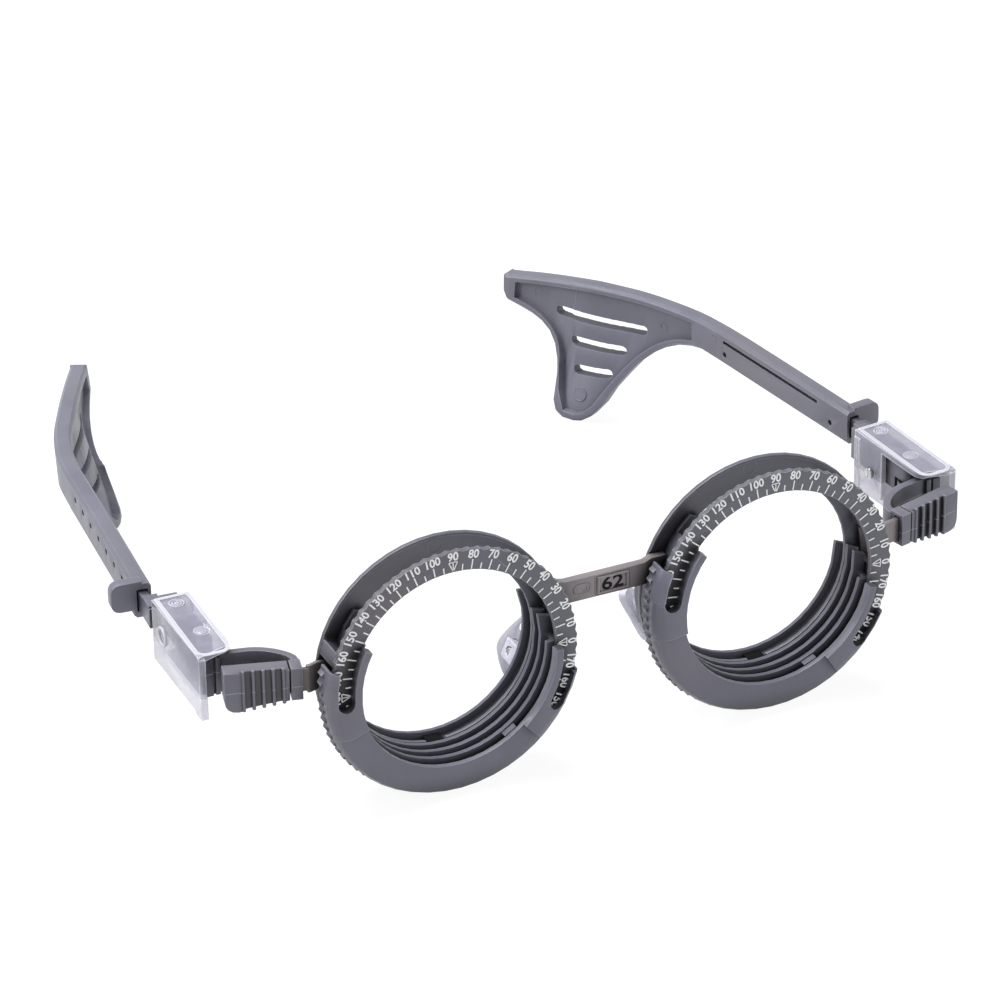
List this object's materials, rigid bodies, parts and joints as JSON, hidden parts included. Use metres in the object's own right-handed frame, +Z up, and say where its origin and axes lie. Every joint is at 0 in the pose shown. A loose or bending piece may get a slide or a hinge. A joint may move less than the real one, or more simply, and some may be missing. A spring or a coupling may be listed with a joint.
{
  "type": "optical trial frame",
  "caption": "Adjustable trial frame for round test lenses, with turning lens cells, angle scales, sliding clips, clear fold hinges and extending ear temples.",
  "frame": {"origin": "middle of the object's box, at its lowest point", "axes": "+X along the front from one ring to the other, +Y from the front to the ear ends, +Z up"},
  "size_m": [0.1542, 0.1404, 0.048],
  "materials": {
    "grey_plastic": "fine matt mould texture",
    "dial_plastic": "matt, with white printed marks",
    "strip_plastic": "satin warm grey",
    "black_plastic": "matt",
    "clear_plastic": "clear, gloss",
    "steel": "turned"
  },
  "bodies": {
    "front": {"bridge_strip": "strip_plastic", "left_back_plate": "grey_plastic", "left_rear_leaf": "grey_plastic", "left_lens_spring": "black_plastic", "left_dial": "dial_plastic", "left_end_strip": "strip_plastic", "left_pad_arm": "grey_plastic", "left_pad_screw": "steel", "right_back_plate": "grey_plastic", "right_rear_leaf": "grey_plastic", "right_lens_spring": "black_plastic", "right_dial": "dial_plastic", "right_end_strip": "strip_plastic", "right_pad_arm": "grey_plastic", "right_pad_screw": "steel"},
    "left_cell": {"left_cell_cap": "grey_plastic", "left_cell_leaves": "grey_plastic"},
    "left_clip": {"left_clip_arch": "grey_plastic"},
    "left_lever": {"left_clip_lever": "grey_plastic"},
    "left_hinge": {"left_hinge_housing": "clear_plastic", "left_hinge_pin": "steel", "left_housing_screw": "steel", "left_temple_rod": "grey_plastic", "left_detent_ball": "steel"},
    "left_temple": {"left_temple_sleeve": "grey_plastic"},
    "left_pad": {"left_nose_pad": "clear_plastic"},
    "right_cell": {"right_cell_cap": "grey_plastic", "right_cell_leaves": "grey_plastic"},
    "right_clip": {"right_clip_arch": "grey_plastic"},
    "right_lever": {"right_clip_lever": "grey_plastic"},
    "right_hinge": {"right_hinge_housing": "clear_plastic", "right_hinge_pin": "steel", "right_housing_screw": "steel", "right_temple_rod": "grey_plastic", "right_detent_ball": "steel"},
    "right_temple": {"right_temple_sleeve": "grey_plastic"},
    "right_pad": {"right_nose_pad": "clear_plastic"}
  },
  "joints": [
    {"name": "left_cell_spin", "type": "hinge", "parent": "front", "child": "left_cell", "pos_m": [-0.03157, -0.06073, 0.0246], "axis": [0, 1, 0], "continuous": true},
    {"name": "right_cell_spin", "type": "hinge", "parent": "front", "child": "right_cell", "pos_m": [0.03043, -0.06073, 0.0246], "axis": [0, 1, 0], "continuous": true},
    {"name": "left_width_slide", "type": "slide", "parent": "front", "child": "left_clip", "axis": [-0.9703, 0.2419, 0], "range_m": [0, 0.0039]},
    {"name": "right_width_slide", "type": "slide", "parent": "front", "child": "right_clip", "axis": [0.9703, 0.2419, 0], "range_m": [-0.0026, 0.0013]},
    {"name": "left_lever_squeeze", "type": "hinge", "parent": "left_clip", "child": "left_lever", "pos_m": [-0.05975, -0.06096, 0.0262], "axis": [0, 0, -1], "range_deg": [0, 2], "stiffness_Nm_per_rad": 0.5},
    {"name": "right_lever_squeeze", "type": "hinge", "parent": "right_clip", "child": "right_lever", "pos_m": [0.06114, -0.06033, 0.0262], "axis": [0, 0, 1], "range_deg": [0, 2], "stiffness_Nm_per_rad": 0.5},
    {"name": "left_fold", "type": "hinge", "parent": "left_clip", "child": "left_hinge", "pos_m": [-0.06927, -0.04543, 0.0252], "axis": [0, 0, -1], "range_deg": [-0.5, 79.5]},
    {"name": "right_fold", "type": "hinge", "parent": "right_clip", "child": "right_hinge", "pos_m": [0.07066, -0.0448, 0.0252], "axis": [0, 0, 1], "range_deg": [-6, 70]},
    {"name": "left_length_slide", "type": "slide", "parent": "left_hinge", "child": "left_temple", "axis": [-0.0906, -0.9959, 0], "range_m": [-0.03042, 0]},
    {"name": "right_length_slide", "type": "slide", "parent": "right_hinge", "child": "right_temple", "axis": [0.1495, -0.9888, 0], "range_m": [-0.03042, 0]},
    {"name": "left_pad_slide", "type": "slide", "parent": "front", "child": "left_pad", "axis": [0.4327, 0, 0.9015], "range_m": [-0.001, 0.001]},
    {"name": "right_pad_slide", "type": "slide", "parent": "front", "child": "right_pad", "axis": [-0.4327, 0, 0.9015], "range_m": [-0.001, 0.001]}
  ]
}
